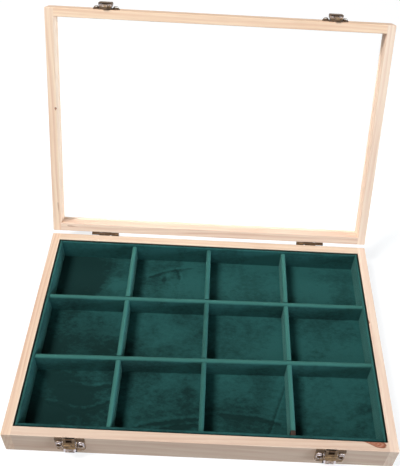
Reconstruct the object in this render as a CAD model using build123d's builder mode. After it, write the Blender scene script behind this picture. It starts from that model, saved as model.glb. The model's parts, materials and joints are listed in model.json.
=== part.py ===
from build123d import *
from math import cos, radians, sin, sqrt
import os

os.makedirs("parts", exist_ok=True)

# Shallow display case in millimetres: +X right, +Y back, +Z up, origin at the middle of its underside.
# The lid and what is fixed to it are drawn closed, and turned open on the hinge line when they are saved.

# Case
width = 350.0
depth = 240.0
wall = 8.7
base_height = 28.8
lid_height = 20.0
seam_gap = 0.1  # between the two rims with the lid closed
edge_round = 0.6
lid_opening = 113.5  # degrees from closed to the hinges' stop

half_width = width / 2
half_depth = depth / 2
inner_half_width = half_width - wall
inner_half_depth = half_depth - wall
lid_rim = base_height + seam_gap
lid_top = lid_rim + lid_height

# Bottom panel, in a rabbet round the underside, and the velvet pad glued on it
panel_thickness = 3.0
panel_rabbet = 4.0
panel_clearance = 0.1
pad_thickness = 1.5
pad_clearance = 0.3
floor_level = panel_thickness + pad_thickness

# Velvet covered liner boards, standing on the pad a little way in from the walls
liner_thickness = 2.3
liner_gap = 1.3
liner_drop = 0.9  # below the rim
liner_round = 0.9
liner_top = base_height - liner_drop
cell_half_width = inner_half_width - liner_gap - liner_thickness
cell_half_depth = inner_half_depth - liner_gap - liner_thickness

# Velvet covered dividers between the columns and the rows. The two long ones aren't quite square to the case.
columns = 4
rows = 3
divider_thickness = 4.8
divider_drop = 2.9  # below the rim
divider_round = 2.0
lap_clearance = 0.1
largest_round = 0.45  # share of a board's thickness
rear_divider_shift = 0.7  # from an even spacing, towards the back
front_divider_shift = 3.1
rear_divider_skew = 0.68  # degrees
front_divider_skew = 1.14
divider_top = base_height - divider_drop
lap_level = (floor_level + divider_top) / 2
column_pitch = (2 * cell_half_width + divider_thickness) / columns
row_pitch = (2 * cell_half_depth + divider_thickness) / rows

# Window, held in a groove round the inside of the lid
window_thickness = 2.0
window_lip = 3.6  # wood left above the pane
groove_depth = 4.0
groove_clearance = 0.1
window_top = lid_top - window_lip
window_level = window_top - window_thickness

# Butt hinges with stop heels, screwed to the two back faces
hinge_length = 30.0
left_hinge_inset = 58.2  # from the case's end to the hinge's middle
right_hinge_inset = 62.2
leaf_thickness = 0.8
leaf_height = 14.4
leaf_corner = 1.5
hinge_pin_radius = 0.6
knuckle_radius = 1.3
centre_knuckle_radius = 1.75
end_knuckle_side = 2.9  # the squared knuckle at the inner end
end_knuckle_round = 0.4
outer_knuckle_length = 8.2
centre_knuckle_length = 6.0
inner_knuckle_length = 7.6
knuckle_gap = 0.15
knuckle_clearance = 0.3  # from a knuckle to the notch in the other leaf
pin_fit = 0.01
pin_clearance = 0.05
barrel_clearance = 0.2  # from the thickest knuckle to the wood
heel_length = 8.0
heel_inner = 3.5  # from the hinge line, along the face where the heels meet
heel_outer = 7.3
heel_clearance = 0.02
hinge_screw_spacing = 18.0
hinge_screw_rise = 9.5  # from the hinge line
hinge_line = centre_knuckle_radius + barrel_clearance
hinge_y = half_depth + hinge_line
hinge_z = (base_height + lid_rim) / 2
leaf_face = leaf_thickness - hinge_line  # the leaf's outer face, seen from the hinge line
leaf_edge = knuckle_radius - leaf_thickness

# Latches: a plate with two cheeks on the base, a sprung lever between them and a catch on the lid
latch_inset = 60.0
latch_width = 26.6
latch_foot = 6.0  # from the underside to the plate's lower edge
latch_drop = 0.4  # below the rim
latch_corner = 6.0
sheet = 1.0
latch_screw_spacing = 19.4
latch_screw_drop = 9.5  # below the rim
lobe_width = 5.8  # the raised part of each ear
lobe_height = 15.2
lobe_foot = 2.6  # above the plate's lower edge
lobe_rise = 1.2  # above the plate's face
lobe_round = 0.9
lever_width = 10.8
lever_clearance = 0.2
lever_notch_drop = 3.6  # below the plate's upper edge, behind the lever
pivot_drop = 9.9  # below the rim
pivot_out = 2.1  # from the wood
pivot_radius = 0.5
lever_ear_radius = 0.9
cheek_radius = 2.2
cheek_reach = 4.5  # above and below the pivot
lever_back = 3.0  # from the wood, at the pivot
lever_lean = 1.1  # towards the wood, from the pivot to the top
lever_rise = 1.4  # above the rim
lever_bend_drop = 11.4  # where the lip starts to flare
lip_drop = 16.6
lip_out = 5.0
lip_corner = 2.0
bead_drop = 7.7
bead_radius = 0.7
slot_width = 5.4
slot_low = 3.9  # below the rim
slot_high = 0.1
spring_thickness = 0.25
spring_width = 8.4
spring_long_arm = 5.5
spring_short_arm = 3.7

latch_top = base_height - latch_drop
pivot_z = base_height - pivot_drop
lever_top = base_height + lever_rise
lever_front = lever_back + sheet
lean_slope = lever_lean / (lever_top - pivot_z)
ear_face = sheet + lobe_rise  # where the screws' heads sit, from the wood

# Catch, over the latch when the lid is closed
catch_height = 13.0
catch_rise = 9.5  # from the lid's rim to the screws
catch_ear = 8.4
catch_lobe = 5.8
catch_corner = 1.0
hood_low = 1.8  # above the lid's rim
hood_top = 12.5
hood_inner = 4.6  # from the wood
hood_out = 7.2
hood_inner_width = 14.0
hood_outer_width = 13.0
hood_round = 0.7
hood_wall = 0.8
hood_pocket = 7.0  # how far the hood is hollow from below
neck_radius = 7.0
neck_out = 6.4  # from the wood to the middle of its round
neck_low = 0.8  # above the hood's lower side
hook_width = 5.0
hook_tip = 1.7  # from the wood
hook_low = 1.9  # below the lid's rim
hook_thickness = 1.4

# Screws: domed heads with a cross recess
hinge_screw = {"head": 3.2, "dome": 0.9, "shank": 1.6, "length": 6.0}
latch_screw = {"head": 5.2, "dome": 1.6, "shank": 2.2, "length": 7.5}
catch_screw = {"head": 4.8, "dome": 1.5, "shank": 2.0, "length": 7.5}
screw_clearance = 0.05
head_rim = 0.2  # share of the dome that is straight
recess_width = 0.22  # share of the head
recess_length = 0.6
recess_depth = 0.55  # share of the dome
first_turn = 25  # degrees, of the first screw's cross
next_turn = 37  # degrees, from one screw to the next

front_face = Plane.XZ.offset(half_depth)
back_face = Plane.XZ.offset(-half_depth)
hinge_axis = Axis((0, hinge_y, hinge_z), (1, 0, 0))

# Each hinge: the x of its middle, and the way along X towards the middle of the case
hinges = {"left": (left_hinge_inset - half_width, 1), "right": (half_width - right_hinge_inset, -1)}
latches = {"left": latch_inset - half_width, "right": half_width - latch_inset}


def save(piece, name):
    """Writes one finished piece"""
    piece.label = name
    export_step(piece, f"parts/{name}.step")


def save_opened(piece, name):
    """Writes a piece of the lid, turned open on the hinge line"""
    save(piece.rotate(hinge_axis, -lid_opening), name)


def hinge_screw_spots(side):
    """Screw centres on a back face: side is -1 on the base and 1 on the lid"""
    return [
        (middle + shift * hinge_screw_spacing / 2, hinge_z + side * hinge_screw_rise)
        for middle, _ in hinges.values()
        for shift in (-1, 1)
    ]


def front_screw_spots(height):
    """Screw centres on a front face, beside each latch or catch"""
    return [(middle + shift * latch_screw_spacing / 2, height) for middle in latches.values() for shift in (-1, 1)]


base_hinge_spots = hinge_screw_spots(-1)
lid_hinge_spots = hinge_screw_spots(1)
latch_spots = front_screw_spots(base_height - latch_screw_drop)
catch_spots = front_screw_spots(lid_rim + catch_rise)


def screw_holes(face, spots, screw):
    """Sketch of the screws' holes on a face"""
    with BuildSketch(face) as holes:
        with Locations(*spots):
            Circle(screw["shank"] / 2 + screw_clearance)
    return holes.sketch


def frame_blank(level, height):
    """Four boards as one ring, with its edges rounded as they are once the boards are glued up"""
    with BuildPart() as blank:
        with BuildSketch(Plane.XY.offset(level)):
            Rectangle(width, depth)
            Rectangle(2 * inner_half_width, 2 * inner_half_depth, mode=Mode.SUBTRACT)
        extrude(amount=height)
        upright = blank.edges().filter_by(Axis.Z)
        inner_corners = upright.filter_by(lambda edge: abs(edge.center().X) < half_width - wall / 2)
        fillet(blank.edges() - inner_corners, min(edge_round, largest_round * wall))
    return blank.part


def boards(kind, names):
    """The ring's four boards: the side boards run the full depth, and the front and back ones lie between them"""
    side_x = half_width - wall / 2
    end_y = half_depth - wall / 2
    places = [(-side_x, 0, wall, depth), (side_x, 0, wall, depth)]
    places += [(0, -end_y, 2 * inner_half_width, wall), (0, end_y, 2 * inner_half_width, wall)]
    pieces = {}
    for name, (x, y, size_x, size_y) in zip(names, places):
        with BuildPart() as board:
            add(kind)
            with Locations((x, y, 0)):
                Box(size_x, size_y, 2 * lid_top, mode=Mode.INTERSECT)
        pieces[name] = board.part
    return pieces


# Base walls
with BuildPart() as base_frame:
    add(frame_blank(0, base_height))
    with BuildSketch(Plane.XY):
        Rectangle(2 * (inner_half_width + panel_rabbet), 2 * (inner_half_depth + panel_rabbet))
    extrude(amount=panel_thickness, mode=Mode.SUBTRACT)
    hinge_holes = screw_holes(back_face, base_hinge_spots, hinge_screw)
    extrude(hinge_holes, amount=hinge_screw["length"] - leaf_thickness, mode=Mode.SUBTRACT)
    latch_holes = screw_holes(front_face, latch_spots, latch_screw)
    extrude(latch_holes, amount=ear_face - latch_screw["length"], mode=Mode.SUBTRACT)

base_walls = boards(base_frame.part, ["base_left_wall", "base_right_wall", "base_front_wall", "base_back_wall"])
for name, piece in base_walls.items():
    save(piece, name)

# Lid rails
with BuildPart() as lid_frame:
    add(frame_blank(lid_rim, lid_height))
    with BuildSketch(Plane.XY.offset(window_level - groove_clearance)):
        Rectangle(2 * (inner_half_width + groove_depth), 2 * (inner_half_depth + groove_depth))
    extrude(amount=window_thickness + 2 * groove_clearance, mode=Mode.SUBTRACT)
    hinge_holes = screw_holes(back_face, lid_hinge_spots, hinge_screw)
    extrude(hinge_holes, amount=hinge_screw["length"] - leaf_thickness, mode=Mode.SUBTRACT)
    catch_holes = screw_holes(front_face, catch_spots, catch_screw)
    extrude(catch_holes, amount=ear_face - catch_screw["length"], mode=Mode.SUBTRACT)

lid_rails = boards(lid_frame.part, ["lid_left_rail", "lid_right_rail", "lid_front_rail", "lid_back_rail"])
for name, piece in lid_rails.items():
    save_opened(piece, name)

# Window pane
with BuildPart() as lid_window:
    with BuildSketch(Plane.XY.offset(window_level)):
        reach = groove_depth - 2 * groove_clearance
        Rectangle(2 * (inner_half_width + reach), 2 * (inner_half_depth + reach))
    extrude(amount=window_thickness)
save_opened(lid_window.part, "lid_window")

# Bottom panel, flush with the underside
with BuildPart() as base_bottom_panel:
    with BuildSketch(Plane.XY):
        reach = panel_rabbet - panel_clearance
        Rectangle(2 * (inner_half_width + reach), 2 * (inner_half_depth + reach))
    extrude(amount=panel_thickness)
save(base_bottom_panel.part, "base_bottom_panel")

# Velvet floor pad
with BuildPart() as floor_pad:
    with BuildSketch(Plane.XY.offset(panel_thickness)):
        Rectangle(2 * (inner_half_width - pad_clearance), 2 * (inner_half_depth - pad_clearance))
    extrude(amount=pad_thickness)
save(floor_pad.part, "floor_pad")


def liner(x, y, size_x, size_y):
    """One liner board with its top edges rounded by the velvet"""
    with BuildPart() as board:
        with BuildSketch(Plane.XY.offset(floor_level)):
            with Locations((x, y)):
                Rectangle(size_x, size_y)
        extrude(amount=liner_top - floor_level)
        run = Axis.X if size_x > size_y else Axis.Y
        top_edges = board.faces().sort_by(Axis.Z)[-1].edges().filter_by(run)
        fillet(top_edges, min(liner_round, largest_round * liner_thickness))
    return board.part


# Liner boards: the end ones run the full depth, and the front and back ones lie between them
end_liner_x = cell_half_width + liner_thickness / 2
long_liner_y = cell_half_depth + liner_thickness / 2
end_liner_run = 2 * (cell_half_depth + liner_thickness)
for name, side in {"liner_left": -1, "liner_right": 1}.items():
    save(liner(side * end_liner_x, 0, liner_thickness, end_liner_run), name)
for name, side in {"liner_front": -1, "liner_back": 1}.items():
    save(liner(0, side * long_liner_y, 2 * cell_half_width, liner_thickness), name)

# Dividers: middle and skew of each long one, and the x of each cross one
long_dividers = {
    "long_divider_front": (-row_pitch / 2 + front_divider_shift, front_divider_skew),
    "long_divider_rear": (row_pitch / 2 + rear_divider_shift, rear_divider_skew),
}
cross_names = ["cross_divider_left", "cross_divider_centre", "cross_divider_right"]
cross_dividers = {name: (number + 1 - columns / 2) * column_pitch for number, name in enumerate(cross_names)}


def run_plane(middle, skew):
    """Plane across a long divider: x across it, y up"""
    turn = radians(skew)
    return Plane(origin=(0, middle, 0), x_dir=(-sin(turn), cos(turn), 0), z_dir=(cos(turn), sin(turn), 0))


def divider_section(plane, across, low, thickness, rounded):
    """Section of a divider, or of the notch that it needs"""
    with BuildSketch(plane) as section:
        with Locations((across, (low + divider_top) / 2)):
            Rectangle(thickness, divider_top - low)
        if rounded:
            fillet(section.vertices().group_by(Axis.Y)[-1], min(divider_round, largest_round * divider_thickness))
    return section.sketch


notch_width = divider_thickness + 2 * lap_clearance

# The long dividers run through on top, notched from below
for name, (middle, skew) in long_dividers.items():
    with BuildPart() as long_divider:
        section = divider_section(run_plane(middle, skew), 0, floor_level, divider_thickness, True)
        extrude(section, amount=half_width, both=True)
        Box(2 * cell_half_width, depth, 2 * base_height, mode=Mode.INTERSECT)
        with BuildSketch(Plane.XY.offset(lap_level + lap_clearance / 2)):
            with Locations(*[(x, 0) for x in cross_dividers.values()]):
                Rectangle(notch_width, depth)
        extrude(amount=-base_height, mode=Mode.SUBTRACT)
    save(long_divider.part, name)

# The cross dividers are notched from above
for name, x in cross_dividers.items():
    with BuildPart() as cross_divider:
        section = divider_section(Plane.XZ, x, floor_level, divider_thickness, True)
        extrude(section, amount=cell_half_depth, both=True)
        for middle, skew in long_dividers.values():
            notch = divider_section(run_plane(middle, skew), 0, lap_level - lap_clearance / 2, notch_width, False)
            extrude(notch, amount=half_width, both=True, mode=Mode.SUBTRACT)
    save(cross_divider.part, name)


# Hinges
first_joint = outer_knuckle_length
second_joint = first_joint + centre_knuckle_length
third_joint = second_joint + inner_knuckle_length
half_gap = radians((180 - lid_opening) / 2)  # half the angle between the two leaves with the lid open


def hinge_span(hinge, start, end):
    """Lowest x and length of a stretch of a hinge, measured from its outer end"""
    middle, inwards = hinge
    ends = sorted(middle + inwards * (place - hinge_length / 2) for place in (start, end))
    return ends[0], ends[1] - ends[0]


def heel_outline(side):
    """Corners of a stop heel, from the hinge line: side is -1 on the base and 1 on the closed lid"""
    near, far = heel_inner * cos(half_gap), heel_outer * cos(half_gap)
    set_y, set_z = -heel_clearance * cos(half_gap), heel_clearance * sin(half_gap)
    corners = [
        (leaf_face - leaf_thickness / 2, near),
        (leaf_face - leaf_thickness / 2, far),
        (heel_outer * sin(half_gap) + set_y, far + set_z),
        (heel_inner * sin(half_gap) + set_y, near + set_z),
    ]
    return [(hinge_y + y, hinge_z + side * z) for y, z in corners]


def hinge_leaf(hinge, side, knuckles, hole_radius, spots):
    """One leaf with its knuckles and stop heel: side is -1 on the base and 1 on the closed lid"""
    middle, _ = hinge
    leaf_z = hinge_z + side * (leaf_edge + leaf_height / 2)
    strap_z = hinge_z + side * (leaf_edge + leaf_thickness / 2)
    with BuildPart() as leaf:
        with BuildSketch(back_face) as plate:
            with Locations((middle, leaf_z)):
                Rectangle(hinge_length, leaf_height)
            rows_of_corners = plate.vertices().group_by(Axis.Y)
            fillet(rows_of_corners[0] if side < 0 else rows_of_corners[-1], leaf_corner)
            with Locations(*spots):
                Circle(hinge_screw["shank"] / 2 + screw_clearance, mode=Mode.SUBTRACT)
        extrude(amount=-leaf_thickness)
        for start, end, profile in knuckles:
            low, length = hinge_span(hinge, start, end)
            with BuildSketch(Plane.YZ.offset(low)):
                with Locations((half_depth + hinge_line / 2, strap_z)):
                    Rectangle(hinge_line, leaf_thickness)
                with Locations((hinge_y, hinge_z)):
                    if profile == "square":
                        RectangleRounded(end_knuckle_side, end_knuckle_side, end_knuckle_round)
                    else:
                        Circle(profile)
            extrude(amount=length)
        heel_start = (hinge_length - heel_length) / 2
        low, length = hinge_span(hinge, heel_start, heel_start + heel_length)
        with BuildSketch(Plane.YZ.offset(low)):
            with BuildLine():
                Polyline(*heel_outline(side), close=True)
            make_face()
        extrude(amount=length)
        low, length = hinge_span(hinge, 0, hinge_length)
        with BuildSketch(Plane.YZ.offset(low)):
            with Locations((hinge_y, hinge_z)):
                Circle(hole_radius)
        extrude(amount=length, mode=Mode.SUBTRACT)
    return leaf


def notched(leaf, hinge, notches):
    """A leaf cut away round the other leaf's knuckles: (start, end, radius) of each"""
    with BuildPart() as cut:
        add(leaf.part)
        for start, end, radius in notches:
            low, length = hinge_span(hinge, start, end)
            with BuildSketch(Plane.YZ.offset(low)):
                with Locations((half_depth + hinge_line / 2, hinge_z)):
                    Rectangle(hinge_line, 2 * (radius + knuckle_clearance))
            extrude(amount=length, mode=Mode.SUBTRACT)
    return cut.part


# Along a hinge: the lid's thin knuckles, then the base's thick middle one and squared end one
half_knuckle_gap = knuckle_gap / 2
thin_runs = [(0, first_joint - half_knuckle_gap), (second_joint + half_knuckle_gap, third_joint - half_knuckle_gap)]
centre_run = (first_joint + half_knuckle_gap, second_joint - half_knuckle_gap)
end_run = (third_joint + half_knuckle_gap, hinge_length)


def widened(run):
    """A knuckle's run with the gaps beside it"""
    return max(run[0] - knuckle_gap, 0), min(run[1] + knuckle_gap, hinge_length)


def base_hinge_leaf(hinge):
    """The base's leaf carries the thick middle knuckle and the squared end one"""
    spots = [spot for spot in base_hinge_spots if abs(spot[0] - hinge[0]) < hinge_length / 2]
    knuckles = [(*centre_run, centre_knuckle_radius), (*end_run, "square")]
    leaf = hinge_leaf(hinge, -1, knuckles, hinge_pin_radius + pin_fit, spots)
    return notched(leaf, hinge, [(*widened(run), knuckle_radius) for run in thin_runs])


def lid_hinge_leaf(hinge):
    """The lid's leaf carries the two thin knuckles"""
    spots = [spot for spot in lid_hinge_spots if abs(spot[0] - hinge[0]) < hinge_length / 2]
    knuckles = [(*run, knuckle_radius) for run in thin_runs]
    leaf = hinge_leaf(hinge, 1, knuckles, hinge_pin_radius + pin_clearance, spots)
    corner_radius = end_knuckle_side / sqrt(2)
    return notched(leaf, hinge, [(*widened(centre_run), centre_knuckle_radius), (*widened(end_run), corner_radius)])


for side, hinge in hinges.items():
    save(base_hinge_leaf(hinge), f"hinge_leaf_base_{side}")
    save_opened(lid_hinge_leaf(hinge), f"hinge_leaf_lid_{side}")
    low, length = hinge_span(hinge, 0, hinge_length)
    with BuildPart() as hinge_pin:
        with BuildSketch(Plane.YZ.offset(low)):
            with Locations((hinge_y, hinge_z)):
                Circle(hinge_pin_radius)
        extrude(amount=length)
    save(hinge_pin.part, f"hinge_pin_{side}")


# Latches
def out(distance, height):
    """Point of a section through a front face: distance is out from the wood"""
    return (-half_depth - distance, height)


def lobe(spot, width, height, middle, screw):
    """An ear pressed outwards round its screw, and what is hollow in it; middle is the lobe's middle height"""
    with BuildPart() as body:
        with BuildSketch(front_face.offset(sheet)):
            with Locations((spot[0], middle)):
                RectangleRounded(width, height, largest_round * width)
        extrude(amount=lobe_rise)
        fillet(body.faces().sort_by(Axis.Y)[0].edges(), min(lobe_round, largest_round * width))
    with BuildPart() as hollow:
        with BuildSketch(front_face):
            with Locations((spot[0], middle)):
                inner_width = width - 2 * sheet
                RectangleRounded(inner_width, height - 2 * sheet, largest_round * inner_width)
        extrude(amount=lobe_rise)
        with BuildSketch(front_face):
            with Locations(spot):
                Circle(screw["shank"] / 2 + screw_clearance)
        extrude(amount=ear_face)
    return body.part, hollow.part


def latch_plate(middle):
    """Back plate with a raised lobe on each ear and a cheek on each side of the lever"""
    height = latch_top - latch_foot
    cheek_x = lever_width / 2 + lever_clearance
    with BuildPart() as plate:
        with BuildSketch(front_face):
            with Locations((middle, latch_foot + height / 2)):
                RectangleRounded(latch_width, height, latch_corner)
            with Locations((middle, latch_top - height / 4)):
                RectangleRounded(latch_width, height / 2, sheet)
            with Locations((middle, latch_top)):
                Rectangle(2 * cheek_x, 2 * lever_notch_drop, mode=Mode.SUBTRACT)
        extrude(amount=sheet)
        for spot in [spot for spot in latch_spots if abs(spot[0] - middle) < latch_width / 2]:
            lobe_z = latch_foot + lobe_foot + lobe_height / 2
            body, hollow = lobe(spot, lobe_width, lobe_height, lobe_z, latch_screw)
            add(body)
            add(hollow, mode=Mode.SUBTRACT)
        for low in (middle - cheek_x - sheet, middle + cheek_x):
            with BuildSketch(Plane.YZ.offset(low)):
                with BuildLine():
                    Polyline(
                        out(sheet / 2, pivot_z - cheek_reach),
                        out(sheet / 2, pivot_z + cheek_reach),
                        out(sheet, pivot_z + cheek_reach),
                        out(pivot_out + cheek_radius / 2, pivot_z + cheek_radius),
                        out(pivot_out + cheek_radius, pivot_z),
                        out(pivot_out + cheek_radius / 2, pivot_z - cheek_radius),
                        out(sheet, pivot_z - cheek_reach),
                        close=True,
                    )
                make_face()
                with Locations(out(pivot_out, pivot_z)):
                    Circle(pivot_radius + pin_fit, mode=Mode.SUBTRACT)
            extrude(amount=sheet)
    return plate.part


def leaned(distance, height):
    """Point of the lever's upper part, which leans towards the wood from the pivot up"""
    return out(distance - lean_slope * (height - pivot_z), height)


def latch_lever(middle):
    """Bent sheet with a slot for the hook, a bead across it, a lip to pull and two ears on the pivot"""
    bend = base_height - lever_bend_drop
    low = base_height - lip_drop
    bead_z = base_height - bead_drop
    lip_slant = (lip_out - lever_back) / (bend - low)
    with BuildPart() as lever:
        with BuildSketch(Plane.YZ.offset(middle)):
            with BuildLine():
                Polyline(
                    leaned(lever_back, lever_top),
                    leaned(lever_front, lever_top),
                    leaned(lever_front, pivot_z),
                    out(lever_front, bend),
                    out(lip_out + sheet, low),
                    out(lip_out, low - sheet * lip_slant),
                    out(lever_back, bend - sheet * lip_slant / 2),
                    leaned(lever_back, pivot_z),
                    close=True,
                )
            make_face()
            with Locations(leaned(lever_front, bead_z)):
                Circle(bead_radius)
        extrude(amount=lever_width / 2, both=True)
        with BuildSketch(front_face):
            with Locations((middle, base_height - (slot_low - slot_high) / 2)):
                Rectangle(slot_width, slot_low + slot_high)
        extrude(amount=lever_front + bead_radius, mode=Mode.SUBTRACT)
        lip_ends = lever.edges().group_by(Axis.Z)[:2]
        corners = [edge for group in lip_ends for edge in group if edge.length < 2 * sheet]
        fillet(corners, min(lip_corner, largest_round * lever_width))
        for low_x in (middle - lever_width / 2, middle + lever_width / 2 - sheet):
            with BuildSketch(Plane.YZ.offset(low_x)):
                with Locations(out(pivot_out, pivot_z)):
                    Circle(lever_ear_radius)
                with Locations(out((pivot_out + lever_back) / 2 + sheet / 4, pivot_z)):
                    Rectangle(lever_back - pivot_out + sheet / 2, 2 * lever_ear_radius)
                with Locations(out(pivot_out, pivot_z)):
                    Circle(pivot_radius + pin_clearance, mode=Mode.SUBTRACT)
            extrude(amount=sheet)
    return lever.part


def latch_spring(middle):
    """Flat spring wound once round the pivot, one arm on the lever and one by the plate"""
    inner = pivot_radius + pin_clearance
    outer = inner + spring_thickness
    with BuildPart() as spring:
        with BuildSketch(Plane.YZ.offset(middle)):
            with Locations(out(pivot_out, pivot_z)):
                Circle(outer)
            with BuildLine():
                Polyline(
                    leaned(lever_back, pivot_z),
                    leaned(lever_back, pivot_z + spring_long_arm),
                    leaned(lever_back - spring_thickness, pivot_z + spring_long_arm),
                    leaned(lever_back - spring_thickness, pivot_z),
                    close=True,
                )
            make_face()
            with Locations(out(pivot_out - outer + spring_thickness / 2, pivot_z - spring_short_arm / 2)):
                Rectangle(spring_thickness, spring_short_arm)
            with Locations(out(pivot_out, pivot_z)):
                Circle(inner, mode=Mode.SUBTRACT)
        extrude(amount=spring_width / 2, both=True)
    return spring.part


def latch_pin(middle):
    """Pivot pin through both cheeks"""
    with BuildPart() as pin:
        with BuildSketch(Plane.YZ.offset(middle)):
            with Locations(out(pivot_out, pivot_z)):
                Circle(pivot_radius)
        extrude(amount=lever_width / 2 + lever_clearance + sheet, both=True)
    return pin.part


def catch_plate(middle):
    """Plate with two raised ears, a hollow hood on a round neck, and a hook that reaches into the lever's slot"""
    screw_z = lid_rim + catch_rise
    low, top = lid_rim + hood_low, lid_rim + hood_top
    tip_low = lid_rim - hook_low
    stem_out = hood_inner + hood_wall
    with BuildPart() as catch:
        with BuildSketch(Plane.XY.offset(low + neck_low)):
            with Locations((middle, -half_depth - neck_out)):
                Circle(neck_radius)
            with Locations((middle, -half_depth - hood_inner / 2)):
                Rectangle(2 * neck_radius, hood_inner, mode=Mode.INTERSECT)
        extrude(amount=top - low - neck_low)
        with BuildPart(mode=Mode.PRIVATE) as hood:
            with BuildSketch(Plane.XY.offset(low)) as outline:
                inner, outer = hood_inner_width / 2, hood_outer_width / 2
                with BuildLine():
                    Polyline(
                        (middle - inner, -half_depth - hood_inner),
                        (middle + inner, -half_depth - hood_inner),
                        (middle + outer, -half_depth - hood_out),
                        (middle - outer, -half_depth - hood_out),
                        close=True,
                    )
                make_face()
                fillet(outline.vertices(), hood_round)
            extrude(amount=top - low)
            fillet(hood.faces().sort_by(Axis.Z)[-1].edges(), hood_round)
            with BuildSketch(Plane.XY.offset(low)):
                pocket = (stem_out + hood_out - hood_wall) / 2
                with Locations((middle, -half_depth - pocket)):
                    Rectangle(hood_outer_width - 2 * hood_wall, hood_out - hood_wall - stem_out)
            extrude(amount=hood_pocket, mode=Mode.SUBTRACT)
        add(hood.part)
        with BuildSketch(front_face):
            with Locations((middle, screw_z)):
                SlotOverall(latch_width, catch_ear)
                RectangleRounded(hood_inner_width, catch_height, catch_corner)
        extrude(amount=sheet)
        for spot in [spot for spot in catch_spots if abs(spot[0] - middle) < latch_width / 2]:
            body, hollow = lobe(spot, catch_lobe, catch_lobe, screw_z, catch_screw)
            add(body)
            add(hollow, mode=Mode.SUBTRACT)
        with BuildSketch(Plane.YZ.offset(middle)):
            with BuildLine():
                Polyline(
                    out(hook_tip, tip_low),
                    out(stem_out, tip_low),
                    out(stem_out, low + hood_wall),
                    out(hood_inner, low + hood_wall),
                    out(hood_inner, tip_low + hook_thickness),
                    out(hook_tip, tip_low + hook_thickness),
                    close=True,
                )
            make_face()
        extrude(amount=hook_width / 2, both=True)
    return catch.part


for side, middle in latches.items():
    save(latch_plate(middle), f"latch_plate_{side}")
    save(latch_pin(middle), f"latch_pin_{side}")
    save(latch_lever(middle), f"latch_lever_{side}")
    save(latch_spring(middle), f"latch_spring_{side}")
    save_opened(catch_plate(middle), f"catch_plate_{side}")


# Screws
def screw_solid(screw):
    """One screw with its head's underside at the origin and its head towards +Y"""
    head, shank = screw["head"] / 2, screw["shank"] / 2
    dome, length = screw["dome"], screw["length"]
    with BuildPart() as one:
        with BuildSketch(Plane.XY):
            with BuildLine():
                TangentArc((0, dome), (head, head_rim * dome), tangent=(1, 0))
                Polyline(
                    (head, head_rim * dome), (head, 0), (shank, 0), (shank, 2 * shank - length), (0, -length), (0, dome)
                )
            make_face()
        revolve(axis=Axis.Y)
        with BuildSketch(Plane.XZ.offset(-dome)):
            Rectangle(recess_length * screw["head"], recess_width * screw["head"])
            Rectangle(recess_width * screw["head"], recess_length * screw["head"])
        extrude(amount=recess_depth * dome, mode=Mode.SUBTRACT)
    return one.part


def screw_group(screw, face, spots, plate):
    """The screws of one kind on one face, each turned its own way"""
    outwards = 1 if face is back_face else -1
    solid = screw_solid(screw)
    with BuildPart() as group:
        for number, (x, z) in enumerate(spots):
            place = Location((x, outwards * (half_depth + plate), z), (0, 0, 0 if outwards > 0 else 180))
            turn = Location((0, 0, 0), (0, first_turn + next_turn * number, 0))
            add(solid.moved(place * turn))
    return group.part


save(screw_group(hinge_screw, back_face, base_hinge_spots, leaf_thickness), "hinge_screws_base")
save_opened(screw_group(hinge_screw, back_face, lid_hinge_spots, leaf_thickness), "hinge_screws_lid")
save(screw_group(latch_screw, front_face, latch_spots, ear_face), "latch_screws")
save_opened(screw_group(catch_screw, front_face, catch_spots, ear_face), "catch_screws")
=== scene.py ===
"""Looks of a glazed jewelry display case: pine boards, velvet cells, a clear pane and small box hardware.

The file is laid out as an add-on. Each piece or group of like pieces has an operator, the sizes and
colours that a user would change are in property groups, and a panel lists the operators. Lengths are
metres in the packed model's frame: +X right, +Y back, +Z up, with the origin at the middle of the base's
underside.
"""

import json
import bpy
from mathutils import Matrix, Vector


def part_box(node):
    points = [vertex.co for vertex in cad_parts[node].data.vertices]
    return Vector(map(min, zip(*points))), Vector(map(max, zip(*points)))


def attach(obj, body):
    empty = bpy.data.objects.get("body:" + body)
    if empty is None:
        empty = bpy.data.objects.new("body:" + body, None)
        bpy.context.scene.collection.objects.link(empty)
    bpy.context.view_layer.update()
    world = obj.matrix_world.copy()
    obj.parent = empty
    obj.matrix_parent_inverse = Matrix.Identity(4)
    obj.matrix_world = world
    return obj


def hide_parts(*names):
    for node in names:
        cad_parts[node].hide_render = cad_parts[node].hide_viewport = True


bl_info = {
    "name": "Jewelry Display Case",
    "version": (1, 0, 0),
    "blender": (4, 5, 0),
    "location": "View3D > Sidebar > Display Case",
    "description": "Finishes a glazed display case in pine, velvet and antiqued metal",
    "category": "Object",
}

from math import cos, pi, radians, sin

import bpy
import numpy as np
from bpy.props import FloatProperty, FloatVectorProperty, PointerProperty
from mathutils import Euler, Matrix, Vector

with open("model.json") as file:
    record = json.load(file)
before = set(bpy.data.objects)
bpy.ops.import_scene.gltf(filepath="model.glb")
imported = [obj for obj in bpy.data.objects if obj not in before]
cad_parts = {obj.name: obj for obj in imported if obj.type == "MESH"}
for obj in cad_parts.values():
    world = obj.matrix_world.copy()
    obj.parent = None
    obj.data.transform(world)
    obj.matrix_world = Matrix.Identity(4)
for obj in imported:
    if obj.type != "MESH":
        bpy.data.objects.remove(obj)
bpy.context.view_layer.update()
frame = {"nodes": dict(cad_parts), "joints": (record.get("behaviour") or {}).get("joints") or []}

MM = 0.001
WHITE = (1.0, 1.0, 1.0)
SHARP_ANGLE = radians(40)

# How far the lid is turned open on its hinges, which is the joint's whole travel
lid_joint = next(joint for joint in frame["joints"] if joint["name"] == "lid_hinge")
LID_OPENING = radians(lid_joint["range_deg"][1])


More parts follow.
